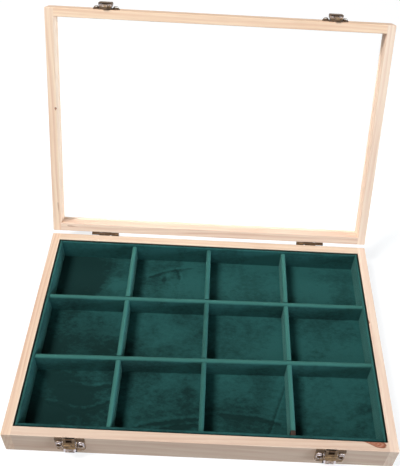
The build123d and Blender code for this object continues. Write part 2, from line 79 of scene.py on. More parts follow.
def colour(red, green, blue):
    """Linear colour from screen values of 0 to 255"""
    shares = [value / 255 for value in (red, green, blue)]
    return tuple(s / 12.92 if s <= 0.04045 else ((s + 0.055) / 1.055) ** 2.4 for s in shares)


def colour_property(label, description, default):
    """A colour that shows as a swatch in the panel"""
    return FloatVectorProperty(
        name=label, description=description, subtype="COLOR", size=3, min=0.0, max=1.0, default=default
    )


def length_property(label, description, default):
    """A length in metres"""
    return FloatProperty(
        name=label,
        description=description,
        subtype="DISTANCE",
        unit="LENGTH",
        min=0.0,
        precision=5,
        default=default,
    )


def power_property(label, description, default):
    """The power of a lamp in watts"""
    return FloatProperty(
        name=label, description=description, subtype="POWER", unit="POWER", min=0.0, default=default
    )


class PineSettings(bpy.types.PropertyGroup):
    """Woods: sanded pine, the bottom panel and the bare board of a divider"""

    early: colour_property("Early wood", "Pale wood between the ring lines", colour(248, 222, 198))
    late: colour_property("Late wood", "Pinkish wood of the ring lines", colour(225, 182, 156))
    knot: colour_property("Knot", "Reddish heart of a knot", colour(152, 86, 60))
    knot_rim: colour_property("Knot rim", "Bark line round a knot", colour(122, 72, 50))
    # Painted shade: the colour of the narrow gap between the walls and the liners
    gap_shade: colour_property("Shadowed wood", "Inner faces behind the liners", colour(48, 54, 44))
    chips: colour_property("Panel", "Bottom panel of the base", colour(196, 160, 122))
    dark_chips: colour_property("Panel's dark chips", "Darker chips of that panel", colour(150, 112, 78))
    pale_cloud: colour_property("Panel's pale clouds", "Paler places of that panel", colour(206, 176, 140))
    bare: colour_property("Bare board", "Divider's board past the end of its velvet", colour(78, 60, 50))
    bare_fibre: colour_property("Bare board's fibres", "Dark fibres of that board", colour(48, 40, 34))
    ring: length_property("Ring width", "Growth ring, from line to line", 3.4 * MM)


class VelvetSettings(bpy.types.PropertyGroup):
    """Dark green velvet, glued over card"""

    # Deep and brushed pile also give the painted shade and light laid on the floor and liners
    deep: colour_property("Deep pile", "Velvet looked straight into", colour(14, 45, 43))
    brushed: colour_property("Brushed pile", "Velvet whose pile leans to the viewer", colour(39, 89, 86))
    # Painted highlight laid along the rounded crests of the liners and dividers
    crest_shine_colour: colour_property("Highlighted pile", "Pile that opens over a rounded edge", colour(63, 116, 107))
    sheen: colour_property("Sheen", "Tint of the pile's tips seen from the side", colour(120, 180, 168))
    ripple: length_property("Ripple", "How far the boards' edges wander", 0.12 * MM)
    grid: length_property("Floor grid", "Spacing of the floor's mesh", 1.2 * MM)


class MetalSettings(bpy.types.PropertyGroup):
    """Antiqued plating of the hinges, latches and catches"""

    plating: colour_property("Plating", "Bronze of the untouched plating", colour(134, 109, 80))
    # Patina is also the colour of the painted shade on the metal
    patina: colour_property("Patina", "Dark wash left in the hollows", colour(72, 50, 30))
    # Worn metal is also the colour of the painted highlights
    worn: colour_property("Worn metal", "Bright metal where the wash is rubbed off", colour(208, 200, 206))
    screw: colour_property("Screws", "Nickel of the screw heads", colour(196, 190, 184))
    spring: colour_property("Springs", "Bare spring steel", colour(150, 150, 150))


class StageSettings(bpy.types.PropertyGroup):
    """Light round the case"""

    key_power: power_property("Key light", "Power of the light from the left", 68.5)
    side_power: power_property("Side light", "Power of the low light from the right", 53.0)
    front_power: power_property("Front light", "Power of the light over the viewer", 19.5)
    side_colour: colour_property("Side light colour", "Cool light from the right", (0.68, 0.84, 1.0))
    front_colour: colour_property("Front light colour", "Light over the viewer", (0.84, 0.93, 1.0))
    world: FloatProperty(name="World", description="Strength of the light all round", min=0.0, default=0.0)


class Graph:
    """A node tree with short calls for adding and linking its nodes"""

    def __init__(self, tree):
        self.tree = tree
        tree.nodes.clear()

    def feed(self, socket, value):
        """Links a socket, or sets its value; a colour without alpha is opaque"""
        if isinstance(value, bpy.types.NodeSocket):
            self.tree.links.new(value, socket)
        elif hasattr(value, "__len__"):
            alpha = [1.0] if len(socket.default_value) > len(value) else []
            socket.default_value = list(value) + alpha
        else:
            socket.default_value = value

    def add(self, kind, inputs=None, **settings):
        """A new node: inputs are its sockets' values or links, by name or number"""
        node = self.tree.nodes.new(kind)
        for name, value in settings.items():
            setattr(node, name, value)
        for key, value in (inputs or {}).items():
            self.feed(node.inputs[key], value)
        return node

    def named(self, kind, inputs, **settings):
        """A new node whose inputs are named with underscores for spaces"""
        spaced = {name.replace("_", " "): value for name, value in inputs.items()}
        return self.add(kind, spaced, **settings)

    def math(self, operation, *values):
        """Result of a Math node"""
        return self.add("ShaderNodeMath", dict(enumerate(values)), operation=operation).outputs[0]

    def plus(self, first, second):
        """Sum of two values"""
        return self.math("ADD", first, second)

    def minus(self, first, second):
        """Difference of two values"""
        return self.math("SUBTRACT", first, second)

    def times(self, first, second):
        """Product of two values"""
        return self.math("MULTIPLY", first, second)

    def most(self, first, second):
        """The larger of two values"""
        return self.math("MAXIMUM", first, second)

    def size(self, value):
        """A value without its sign"""
        return self.math("ABSOLUTE", value)

    def vector_math(self, operation, *values):
        """Result of a Vector Math node"""
        node = self.add("ShaderNodeVectorMath", dict(enumerate(values)), operation=operation)
        return node.outputs["Value" if operation in ("LENGTH", "DOT_PRODUCT") else "Vector"]

    def parts(self, vector):
        """X, Y and Z of a vector"""
        return self.add("ShaderNodeSeparateXYZ", {0: vector}).outputs

    def distance(self, across, up):
        """Length of a flat vector"""
        flat = self.add("ShaderNodeCombineXYZ", {0: across, 1: up}).outputs[0]
        return self.vector_math("LENGTH", flat)

    def mix(self, factor, first, second, blend="MIX"):
        """One colour over another"""
        inputs = {"Factor": factor, 6: first, 7: second}
        return self.add("ShaderNodeMix", inputs, data_type="RGBA", blend_type=blend).outputs[2]

    def noise(self, vector, scale=1.0, **shape):
        """Noise between about 0 and 1"""
        return self.named("ShaderNodeTexNoise", {"Vector": vector, "Scale": scale, **shape}).outputs["Fac"]

    def span(self, value, low, high, start=0.0, end=1.0):
        """value brought smoothly from the span low to high to the span start to end"""
        inputs = {"Value": value, "From Min": low, "From Max": high, "To Min": start, "To Max": end}
        return self.add("ShaderNodeMapRange", inputs, interpolation_type="SMOOTHSTEP").outputs["Result"]

    def mapping(self, vector, kind="POINT", **change):
        """Vector moved, turned and scaled"""
        return self.named("ShaderNodeMapping", {"Vector": vector, **change}, vector_type=kind).outputs[0]

    def place(self):
        """Coordinates in the case's own frame, in metres"""
        return self.add("ShaderNodeTexCoord").outputs["Object"]

    def openness(self, distance):
        """How open a place is within a distance: low in the hollows"""
        return self.add("ShaderNodeAmbientOcclusion", {"Distance": distance}, samples=8).outputs["AO"]

    def painted(self, name):
        """The number that paint gave to each point under a name, or 0"""
        return self.add("ShaderNodeAttribute", attribute_name=name).outputs["Fac"]

    def effect(self, name, **inputs):
        """Outputs of a shared effect"""
        return self.named("ShaderNodeGroup", inputs, node_tree=shared_group(name)).outputs

    def bump(self, height, distance, strength=1.0):
        """Normal from a height"""
        inputs = {"Height": height, "Distance": distance, "Strength": strength}
        return self.add("ShaderNodeBump", inputs).outputs[0]

    def surface(self, **inputs):
        """Principled surface of the material"""
        shader = self.named("ShaderNodeBsdfPrincipled", inputs)
        self.add("ShaderNodeOutputMaterial", {"Surface": shader.outputs[0]})


def new_material(name):
    """An empty material and its graph"""
    material = bpy.data.materials.new(name)
    material.use_nodes = True
    return material, Graph(material.node_tree)


def shared_group(name):
    """The node group of a shared effect, made once"""
    if name in bpy.data.node_groups:
        return bpy.data.node_groups[name]
    build, vectors, numbers = EFFECTS[name]
    tree = bpy.data.node_groups.new(name, "ShaderNodeTree")
    graph = Graph(tree)
    for label in vectors:
        tree.interface.new_socket(label, in_out="INPUT", socket_type="NodeSocketVector")
    for label, default in numbers.items():
        socket = tree.interface.new_socket(label, in_out="INPUT", socket_type="NodeSocketFloat")
        socket.default_value = default
    results = build(graph, graph.add("NodeGroupInput").outputs)
    for label in results:
        tree.interface.new_socket(label, in_out="OUTPUT", socket_type="NodeSocketFloat")
    graph.add("NodeGroupOutput", results)
    return tree


def dress(nodes, material):
    """Gives CAD nodes a material"""
    for name in nodes:
        data = frame["nodes"][name].data
        data.materials.clear()
        data.materials.append(material)


def dimmed(tone, share):
    """A colour brought down to a share of itself"""
    return [share * value for value in tone]


def in_mm(values):
    """Metres from millimetres"""
    return [value * MM for value in values]


def pair(name):
    """Names of a piece on the left and on the right"""
    return [f"{name}_left", f"{name}_right"]


def runs_back(name):
    """Whether a CAD node is longer from front to back than from side to side"""
    low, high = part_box(name)
    return high.y - low.y > high.x - low.x


# Shared effects


def build_grain(graph, inputs):
    """Growth rings round a pith that lies beside the board, with long fibres; X runs along the board"""
    reach = 9 * MM  # how far the rings wander
    seeded = graph.vector_math("ADD", inputs["Vector"], inputs["Offset"])
    slow = graph.mapping(seeded, Scale=(4, 22, 22))
    cloud = graph.add("ShaderNodeTexNoise", {"Vector": slow, "Scale": 1.0}).outputs["Color"]
    wander = graph.vector_math("SUBTRACT", cloud, [0.5] * 3)
    moved = graph.vector_math("ADD", inputs["Vector"], graph.vector_math("MULTIPLY", wander, [reach] * 3))
    x, y, z = graph.parts(graph.vector_math("SUBTRACT", moved, inputs["Pith"]))
    radius = graph.distance(graph.plus(y, graph.times(x, inputs["Run Out"])), z)
    turn = graph.math("FRACT", graph.math("DIVIDE", radius, inputs["Ring Width"]))
    figure = graph.times(graph.span(turn, 0.15, 0.85), graph.span(turn, 0.88, 1.0, 1.0, 0.0))
    fibre = graph.noise(graph.mapping(seeded, Scale=(60, 1400, 1400)), Detail=3.0, Roughness=0.6)
    streak = graph.noise(graph.mapping(seeded, Scale=(9, 160, 160)), Detail=3.0, Roughness=0.55)
    patch = graph.noise(graph.mapping(seeded, Scale=(12, 26, 26)), Detail=1.0)
    height = graph.plus(graph.times(figure, 0.5), graph.times(fibre, 0.5))
    return {"Figure": figure, "Fibre": fibre, "Streak": streak, "Patch": patch, "Height": height}


def build_knot(graph, inputs):
    """A blunt, drop-shaped knot of radius 1 round the vector's origin, pointed towards +X"""
    bluntness = 3
    x, y, z = graph.parts(inputs["Vector"])
    wobble = graph.times(graph.minus(graph.noise(inputs["Vector"], 2.0), 0.5), 0.35)
    taper = graph.span(x, -0.4, 0.8, 1.0, 0.25)
    total = 0.0
    for part in (x, graph.math("DIVIDE", y, taper), z):
        total = graph.plus(total, graph.math("POWER", graph.size(part), bluntness))
    radius = graph.plus(graph.math("POWER", total, 1 / bluntness), wobble)
    mask = graph.span(radius, 1.02, 0.88)
    rim = graph.times(mask, graph.span(radius, 0.72, 0.92))
    rings = graph.math("SINE", graph.times(radius, 22.0))
    return {"Mask": mask, "Rim": rim, "Rings": graph.span(rings, -1.0, 1.0)}


def build_nap(graph, inputs):
    """Patches of pile that lean one way or the other, with the painted light and shade that come in beside
    them, and the fuzz of the pile itself
    """
    place = inputs["Vector"]
    stroked = graph.mapping(place, Rotation=(0, 0, 0.3), Scale=(0.6, 1, 1))
    broad = graph.noise(place, 20.0, Detail=3.0, Roughness=0.55, Distortion=0.6)
    strokes = graph.noise(stroked, 330.0, Detail=4.0, Roughness=0.7)
    lean = graph.plus(graph.times(broad, 0.6), graph.times(strokes, 0.4))
    brushed = graph.plus(graph.span(lean, 0.3, 0.66), inputs["Brush"])
    fuzz = graph.noise(place, 2600.0, Roughness=0.7)
    return {"Lean": graph.most(graph.math("MINIMUM", brushed, 1.0), 0.0), "Fuzz": fuzz}


def build_patina(graph, inputs):
    """Wash left in the hollows and rubbed off the edges and the faces that stand out"""
    place = inputs["Vector"]
    bevel = graph.add("ShaderNodeBevel", {"Radius": inputs["Edge Radius"]}, samples=6).outputs[0]
    normal = graph.add("ShaderNodeNewGeometry").outputs["Normal"]
    edge = graph.span(graph.vector_math("DOT_PRODUCT", bevel, normal), 0.995, 0.9)
    blotch = graph.noise(place, 420.0, Detail=3.0, Roughness=0.6)
    scratch = graph.noise(graph.mapping(place, Rotation=(0, 0.5, 0), Scale=(300, 300, 2600)))
    rubbed = graph.plus(graph.times(edge, 0.75), inputs["Rubbed"])
    wear = graph.span(graph.plus(rubbed, graph.times(blotch, 0.7)), 0.55, 1.0)
    wear = graph.times(wear, graph.span(scratch, 0.2, 0.5, 0.7, 1.0))
    dirt = graph.span(graph.noise(place, 260.0, Detail=4.0, Roughness=0.65), 0.42, 0.7)
    hollow = graph.span(graph.openness(inputs["Hollow Depth"]), 0.72, 0.36)
    wear = graph.times(wear, graph.minus(1.0, hollow))
    return {"Wear": wear, "Dirt": graph.most(dirt, hollow), "Grit": graph.noise(place, 1800.0)}


# What builds each shared effect, its vector inputs, and its number inputs with their defaults
EFFECTS = {
    "Pine grain": (build_grain, ["Vector", "Offset", "Pith"], {"Run Out": 0.01, "Ring Width": 3.4 * MM}),
    "Knot": (build_knot, ["Vector"], {}),
    "Velvet nap": (build_nap, ["Vector"], {"Brush": 0.0}),
    "Antique patina": (
        build_patina,
        ["Vector"],
        {"Rubbed": 0.0, "Edge Radius": 0.25 * MM, "Hollow Depth": 2.0 * MM},
    ),
}


# Wood

# Each board's own tone with painted light and shade, and how plain its rings show
BOARDS = {
    "base_left_wall": ((0.9, 0.85, 0.8), 1.0),
    "base_right_wall": ((0.98, 0.97, 0.98), 0.4),
    "base_front_wall": ((0.81, 0.775, 0.76), 0.5),
    "base_back_wall": ((0.85, 0.84, 0.8), 0.6),
    "lid_left_rail": ((1.04, 1.0, 0.94), 0.9),
    "lid_right_rail": ((1.05, 1.04, 1.03), 0.7),
    "lid_front_rail": ((1.065, 1.0, 0.9), 0.7),
    "lid_back_rail": ((0.95, 0.92, 0.91), 1.0),
}

# Knots and brown streaks: the board, the centre in mm in the case's frame, the turn about the face's normal
# in degrees, the half length and width in mm, and how strongly it shows
KNOTS = [
    ("base_front_wall", (153.0, -112.6, 28.8), 169, (11.8, 3.5), 1.0),
    ("base_right_wall", (166.3, 18.8, 28.8), 90, (2.4, 0.9), 1.0),
    ("lid_left_rail", (-167.4, 177.8, 157.2), 90, (1.9, 1.2), 0.9),
    ("lid_left_rail", (-168.4, 133.2, 54.5), 86, (8.0, 0.9), 0.4),
    ("lid_back_rail", (-153.6, 125.0, 35.8), 4, (6.0, 1.0), 0.45),
]

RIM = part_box("base_front_wall")[1].z
GAP_SHADE_START = 0.8 * MM  # below the rim
GAP_SHADE_FULL = 1.3 * MM  # below the rim
FACE_SLACK = 0.15 * MM  # by which a mask passes the face where it ends


def inner_faces(graph, place):
    """1 on the base walls' faces behind the liners, painted as the shade in the narrow gap between them"""
    left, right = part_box("base_left_wall")[1].x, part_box("base_right_wall")[0].x
    front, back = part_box("base_front_wall")[1].y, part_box("base_back_wall")[0].y
    middle = ((left + right) / 2, (front + back) / 2, 0)
    x, y, z = graph.parts(graph.vector_math("SUBTRACT", place, middle))
    within_x = graph.math("LESS_THAN", graph.size(x), (right - left) / 2 + FACE_SLACK)
    within_y = graph.math("LESS_THAN", graph.size(y), (back - front) / 2 + FACE_SLACK)
    low = graph.span(z, RIM - GAP_SHADE_START, RIM - GAP_SHADE_FULL)
    return graph.times(graph.times(within_x, within_y), low)


def from_lever(graph, place):
    """Distance across from the middle of the nearest latch lever, and half a lever's width"""
    low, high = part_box("latch_lever_right")
    across = graph.size(graph.parts(place)[0])
    return graph.size(graph.minus(across, (low.x + high.x) / 2)), (high.x - low.x) / 2


def behind_levers(graph, place):
    """1 on the wood behind the latch levers, painted as the shade seen through their slots"""
    start, full = 0.6 * MM, 1.4 * MM  # inside the lever's sides
    depth = 0.1 * MM  # from the wall's face
    away, half = from_lever(graph, place)
    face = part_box("base_front_wall")[0].y
    front = graph.math("LESS_THAN", graph.parts(place)[1], face + depth)
    return graph.times(graph.span(away, half - start, half - full), front)


def pine_material(name, settings):
    """Sanded pine of one board, cut from its own place in the timber"""
    shade, figure = BOARDS[name]
    number = list(BOARDS).index(name)
    opening = LID_OPENING if name.startswith("lid") else 0.0
    pith_beside = 46 + 9 * sin(2.1 * number)
    pith_below = 32 - 12 * cos(1.3 * number)
    material, graph = new_material(f"pine_{name}")
    place = graph.place()
    grain = graph.effect(
        "Pine grain",
        Vector=graph.mapping(place, Rotation=(opening, 0.0, -pi / 2 if runs_back(name) else 0.0)),
        Offset=(1.7 * number, 0.31 * number, 0.53 * number),
        Pith=in_mm((0, pith_beside, -pith_below)),
        Run_Out=0.02 * sin(1.9 * number + 0.6),
        Ring_Width=settings.ring,
    )
    contrast = graph.span(grain["Patch"], 0.3, 0.7, 0.3 * figure, 0.8 * figure)
    tone = graph.mix(graph.times(grain["Figure"], contrast), settings.early, settings.late)
    tone = graph.mix(graph.span(grain["Streak"], 0.35, 0.75, 0.0, 0.45), tone, settings.late)
    tone = graph.mix(graph.span(grain["Fibre"], 0.45, 0.8, 0.0, 0.18), tone, dimmed(settings.late, 0.72))
    # Painted light and shade on the board, over its own tone
    tone = graph.mix(1.0, tone, shade, "MULTIPLY")
    for board, *knot in KNOTS:
        if board == name:
            tone = knotted(graph, place, tone, settings, opening, *knot)
    if name.startswith("base"):
        # Painted shade in the gap behind the liners
        tone = graph.mix(inner_faces(graph, place), tone, settings.gap_shade)
    if name == "base_front_wall":
        # Painted shade behind the levers, seen through their slots
        tone = graph.mix(behind_levers(graph, place), tone, dimmed(settings.gap_shade, 0.3))
    graph.surface(
        Base_Color=tone,
        Roughness=graph.span(grain["Fibre"], 0.2, 0.8, 0.5, 0.68),
        Specular_IOR_Level=0.3,
        Normal=graph.bump(grain["Height"], 0.05 * MM, 0.6),
    )
    return material


def knotted(graph, place, tone, settings, opening, centre, turn, size, strength):
    """The wood's colour with one knot or streak over it"""
    length, width = size
    face = Matrix.Rotation(-opening, 3, "X") @ Matrix.Rotation(radians(turn), 3, "Z")
    near = graph.mapping(
        place,
        "TEXTURE",
        Location=in_mm(centre),
        Rotation=face.to_euler(),
        Scale=in_mm((length, width, length)),
    )
    spot = graph.effect("Knot", Vector=near)
    heart = graph.mix(graph.times(spot["Rings"], 0.28), settings.knot, settings.late)
    heart = graph.mix(spot["Rim"], heart, settings.knot_rim)
    return graph.mix(graph.times(spot["Mask"], strength), tone, heart)


def panel_material(settings):
    """Pressed board of the base's underside"""
    material, graph = new_material("panel_board")
    place = graph.place()
    chips = graph.noise(graph.mapping(place, Scale=(0.35, 1, 1)), 420.0, Detail=4.0, Roughness=0.6)
    cloud = graph.span(graph.noise(place, 30.0), 0.3, 0.7, 0.0, 0.35)
    tone = graph.mix(graph.span(chips, 0.35, 0.7), settings.chips, settings.dark_chips)
    graph.surface(
        Base_Color=graph.mix(cloud, tone, settings.pale_cloud),
        Roughness=0.7,
        Specular_IOR_Level=0.25,
        Normal=graph.bump(chips, 0.04 * MM),
    )
    return material


def finish_boards(part, settings):
    """Dresses each board of the base or the lid in its own pine"""
    for name in BOARDS:
        if name.startswith(part):
            dress([name], pine_material(name, settings))


class DISPLAY_CASE_OT_base_boards(bpy.types.Operator):
    """Finish the four walls of the base and the panel under them"""

    bl_idname = "display_case.base_boards"
    bl_label = "Base boards"

    def execute(self, context):
        finish_boards("base", context.scene.case_pine)
        dress(["base_bottom_panel"], panel_material(context.scene.case_pine))
        return {"FINISHED"}


class DISPLAY_CASE_OT_lid_frame(bpy.types.Operator):
    """Finish the four rails of the lid"""

    bl_idname = "display_case.lid_frame"
    bl_label = "Lid frame"

    def execute(self, context):
        finish_boards("lid", context.scene.case_pine)
        return {"FINISHED"}


class DISPLAY_CASE_OT_window(bpy.types.Operator):
    """Make the pane clear, and let light through it"""

    bl_idname = "display_case.window"
    bl_label = "Window"

    tint = (0.99, 1.0, 0.995)
    shadow_tint = (0.97, 0.975, 0.97)

    def execute(self, context):
        material, graph = new_material("window_pane")
        looks = {"Base Color": self.tint, "Roughness": 0.0, "IOR": 1.45, "Transmission Weight": 1.0}
        glass = graph.add("ShaderNodeBsdfPrincipled", looks)
        clear = graph.add("ShaderNodeBsdfTransparent", {"Color": self.shadow_tint})
        shadow = graph.add("ShaderNodeLightPath").outputs["Is Shadow Ray"]
        both = graph.add("ShaderNodeMixShader", {0: shadow, 1: glass.outputs[0], 2: clear.outputs[0]})
        graph.add("ShaderNodeOutputMaterial", {"Surface": both.outputs[0]})
        dress(["lid_window"], material)
        return {"FINISHED"}


# Velvet


def velvet(settings):
    """Velvet whose pile leans in patches, with painted light and shade laid on it, and glows where it is
    seen from the side; made once
    """
    name = "green_velvet"
    if name in bpy.data.materials:
        return bpy.data.materials[name]
    material, graph = new_material(name)
    nap = graph.effect("Velvet nap", Vector=graph.place(), Brush=graph.painted("brush"))
    tone = graph.mix(nap["Lean"], settings.deep, settings.brushed)
    tone = graph.mix(graph.span(nap["Fuzz"], 0.3, 0.7, 0.0, 0.25), tone, dimmed(settings.deep, 0.6))
    graph.surface(
        # Painted highlight along the crests
        Base_Color=graph.mix(graph.painted("splay"), tone, settings.crest_shine_colour),
        Roughness=0.85,
        Specular_IOR_Level=0.12,
        Sheen_Weight=0.6,
        Sheen_Roughness=0.35,
        Sheen_Tint=settings.sheen,
        Normal=graph.bump(nap["Fuzz"], 0.12 * MM, 0.7),
    )
    return material


def mesh_piece(name, vertices, faces, material):
    """A new mesh object, smooth but for its sharp edges"""
    data = bpy.data.meshes.new(name)
    data.from_pydata([tuple(v) for v in vertices], [], faces)
    data.validate()
    data.shade_smooth()
    data.set_sharp_from_angle(angle=SHARP_ANGLE)
    data.materials.append(material)
    piece = bpy.data.objects.new(name, data)
    bpy.context.scene.collection.objects.link(piece)
    return piece


def paint(piece, attribute, values):
    """Gives each point of a piece a number that its material reads"""
    layer = piece.data.attributes.new(attribute, "FLOAT", "POINT")
    layer.data.foreach_set("value", np.asarray(values, np.float32))


def stand_in(piece, node):
    """Lets a velvet piece stand for its CAD node on the base"""
    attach(piece, "base")
    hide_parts(node)


def waves(along, seed, lengths):
    """Sum of a few waves along a run, between about -1 and 1"""
    turns = [2 * pi * along / length + 1.7 * seed + 2.3 * number for number, length in enumerate(lengths)]
    return sum(sin(turn) for turn in turns) / len(lengths)


def board_section(half, low, top, radius, steps):
    """Corners of a board's section, anticlockwise from the lower right: (across, up)"""
    waist = (low + top) / 2
    points = [(half, low), (half, waist)]
    for middle, start in ((half - radius, 0.0), (radius - half, pi / 2)):
        for step in range(steps + 1):
            angle = start + pi / 2 * step / steps
            points.append((middle + radius * cos(angle), top - radius + radius * sin(angle)))
    return [*points, (-half, waist), (-half, low)]


def swept_board(name, stations, axis_point, material, radius, crest_shine, steps=5):
    """A board through (along, low, top, half) stations, closed at its ends; axis_point gives the place of
    (along, across), and crest_shine is how strongly a highlight is painted along the crest"""
    vertices, faces, splay = [], [], []
    crest = max(station[2] for station in stations)
    opened = 1.2 * radius  # depth below the crest over which the painted highlight fades
    for along, low, top, half in stations:
        section = board_section(half, low, top, min(radius, half, top - low), steps)
        vertices += [(*axis_point(along, across), up) for across, up in section]
        splay += [crest_shine * max(0.0, 1 - (crest - up) / opened) for _, up in section]
    size = len(vertices) // len(stations)
    for ring in range(len(stations) - 1):
        for spot in range(size):
            after = (spot + 1) % size
            first, second = ring * size, (ring + 1) * size
            faces.append((first + spot, first + after, second + after, second + spot))
    faces.append(tuple(reversed(range(size))))
    faces.append(tuple(range(len(vertices) - size, len(vertices))))
    piece = mesh_piece(name, vertices, faces, material)
    paint(piece, "splay", splay)
    return piece


def even(start, end, step):
    """Even places from start to end, about a step apart"""
    return list(np.linspace(start, end, max(2, round(abs(end - start) / step) + 1)))


class DISPLAY_CASE_OT_velvet_floor(bpy.types.Operator):
    """Lay the velvet floor, with its creases, the painted shade and light in and beside them, and places
    painted paler or darker
    """

    bl_idname = "display_case.velvet_floor"
    bl_label = "Velvet floor"

    fill = 0.2

    # Creases: points along each in mm, its half width and its depth
    creases = [
        ([(-132.4, 62.2), (-129, 61.7), (-125.3, 58.5), (-121.3, 53.3)], 1.3, 0.7),
        ([(-63.8, 83.2), (-47.9, 91.3), (-31.4, 96), (-18.1, 99)], 1.0, 0.6),
        ([(-34.7, 95.1), (-32.1, 89.4), (-30.5, 82.4)], 1.1, 0.6),
        (
            [(-145.5, -73.7), (-133.9, -75.2), (-123.7, -79.8)]
            + [(-112.2, -81.3), (-100.6, -77.7), (-89.3, -70.9)],
            1.4,
            0.8,
        ),
        ([(-137.6, -55.2), (-123.3, -54.5), (-106.6, -56.9), (-91.7, -52.9)], 1.3, 0.5),
        ([(-56.6, -93.7), (-33.9, -88.6), (-6.1, -84.3)], 1.4, 0.5),
        ([(-46.9, -98.2), (-24.3, -93.2), (-4, -90.2)], 1.2, 0.5),
        ([(19, -77.9), (28.5, -79.5), (51.1, -80.4), (73.5, -85.4)], 1.2, 0.7),
        ([(79.9, -48.4), (72.3, -70.1), (63.9, -94.9)], 0.7, -0.35),
    ]

    # The floor swells beside a crease: its share of the depth, and its place and spread in half widths
    bank = (0.45, 2.2, 1.4)
    # Painted light on one flank of a crease and painted shade on the other: how strong, and the flank's
    # place and spread in half widths
    flank = (0.3, 1.8, 2.0)
    trough_shade = -0.5  # painted shade in the crease

    # Places painted paler or darker: the middle and half sizes in mm, the turn in degrees, and how much
    # paler the velvet is painted, or below zero darker; the three broad dark places in the left column are
    # painted shade
    painted_places = [
        ((-103, 70), (20, 9), 18, 0.5),
        ((-138, 82), (30, 38), 8, -1.2),
        ((-48, 80), (2.4, 4.5), 0, -0.6),
        ((80, 84), (120, 34), 0, 0.45),
        ((80, 0), (90, 42), 0, 0.3),
        ((-30, 66), (30, 20), 10, 0.2),
        ((-12, -57), (9, 6), -30, -0.5),
        ((-130, -8), (44, 38), 0, -0.6),
        ((-134, -82), (46, 36), 0, -0.75),
        ((-100, -84), (12, 26), -30, 0.25),
        ((50, -84), (130, 30), 0, -0.12),
    ]

    def execute(self, context):
        settings = context.scene.case_velvet
        low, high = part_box("floor_pad")
        xs, ys = even(low.x, high.x, settings.grid), even(low.y, high.y, settings.grid)
        x, y = (grid.ravel() for grid in np.meshgrid(xs, ys))
        height, brush = self.creased(x, y)
        brush += self.brushed(x, y)
        top = np.stack([x, y, high.z + height], 1)
        faces, border = self.slab_faces(len(xs), len(ys))
        under = [(top[index][0], top[index][1], low.z) for index in border]
        piece = mesh_piece("velvet_floor", list(top) + under, faces, velvet(settings))
        paint(piece, "brush", np.concatenate([brush, np.zeros(len(under))]))
        stand_in(piece, "floor_pad")
        return {"FINISHED"}

    def slab_faces(self, columns, rows):
        """Faces of a slab with a grid for its top, and the top's points round the border in their order"""
        cells = [row * columns + column for row in range(rows - 1) for column in range(columns - 1)]
        faces = [(cell, cell + 1, cell + columns + 1, cell + columns) for cell in cells]
        border = list(range(columns))
        border += [row * columns + columns - 1 for row in range(1, rows)]
        border += [(rows - 1) * columns + column for column in range(columns - 2, -1, -1)]
        border += [row * columns for row in range(rows - 2, 0, -1)]
        first = rows * columns
        for number, index in enumerate(border):
            after = (number + 1) % len(border)
            faces.append((index, first + number, first + after, border[after]))
        faces.append(tuple(reversed(range(first, first + len(border)))))
        return faces, border

    def from_line(self, x, y, line):
        """Distance of each point from a broken line, and on which side of it the point lies"""
        nearest, side = np.full(len(x), np.inf), np.zeros(len(x))
        for start, end in zip(line[:-1], line[1:]):
            run = end - start
            share = np.clip(((x - start[0]) * run[0] + (y - start[1]) * run[1]) / (run @ run), 0, 1)
            off_x, off_y = x - start[0] - share * run[0], y - start[1] - share * run[1]
            distance = np.hypot(off_x, off_y)
            closer = distance < nearest
            nearest = np.where(closer, distance, nearest)
            side = np.where(closer, np.sign(run[0] * off_y - run[1] * off_x), side)
        return nearest, side

    def swell(self, reach, height, place, spread):
        """A soft rise of the given height at its place"""
        return height * np.exp(-((reach - place) ** 2) / spread)

    def creased(self, x, y):
        """Height of the creases at each point, and the painted shade and light in and beside them"""
        height, brush = np.zeros(len(x)), np.zeros(len(x))
        for points, half_width, depth in self.creases:
            distance, side = self.from_line(x, y, np.array(points) * MM)
            reach = distance / (half_width * MM)
            trough = np.exp(-(reach**2))
            bank, flank = self.swell(reach, *self.bank), self.swell(reach, *self.flank)
            height += depth * MM * (bank - trough)
            brush += self.trough_shade * trough + side * flank
        return height, brush

    def brushed(self, x, y):
        """How much paler or darker the velvet is painted at the listed places"""
        lean = np.zeros(len(x))
        for (middle_x, middle_y), (half_x, half_y), turn, strength in self.painted_places:
            c, s = cos(radians(turn)), sin(radians(turn))
            off_x, off_y = x - middle_x * MM, y - middle_y * MM
            u, v = (off_x * c + off_y * s) / (half_x * MM), (off_y * c - off_x * s) / (half_y * MM)
            lean += strength * np.exp(-((u**2 + v**2) ** 2))
        return lean


